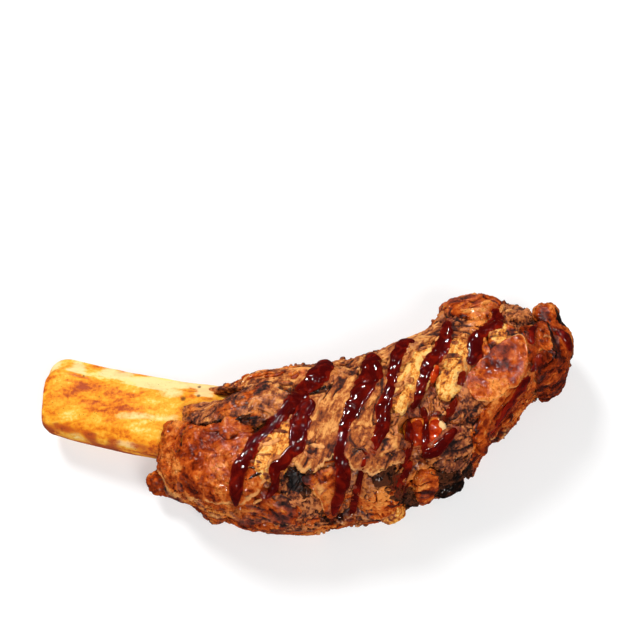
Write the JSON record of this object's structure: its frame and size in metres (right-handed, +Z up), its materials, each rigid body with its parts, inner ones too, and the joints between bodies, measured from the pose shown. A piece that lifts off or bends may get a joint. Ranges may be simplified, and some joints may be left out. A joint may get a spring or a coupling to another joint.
{
  "type": "beef rib",
  "caption": "Barbecued beef rib: a flat bone, bare at one end, runs through a thick curved piece of browned meat with ropes of dark sauce on top.",
  "frame": {"origin": "middle of the rib's box, on the surface it lies on", "axes": "+X along the rib, away from the bare end of the bone; +Y away from the near side; +Z up"},
  "size_m": [0.2472, 0.108, 0.0503],
  "materials": {
    "bone": "roasted rib bone, cream to amber with brown stains, satin",
    "meat": "browned glazed meat with charred places and glossy dark red sauce"
  },
  "bodies": {
    "root": {"bone": "bone", "meat": "meat"}
  },
  "joints": []
}
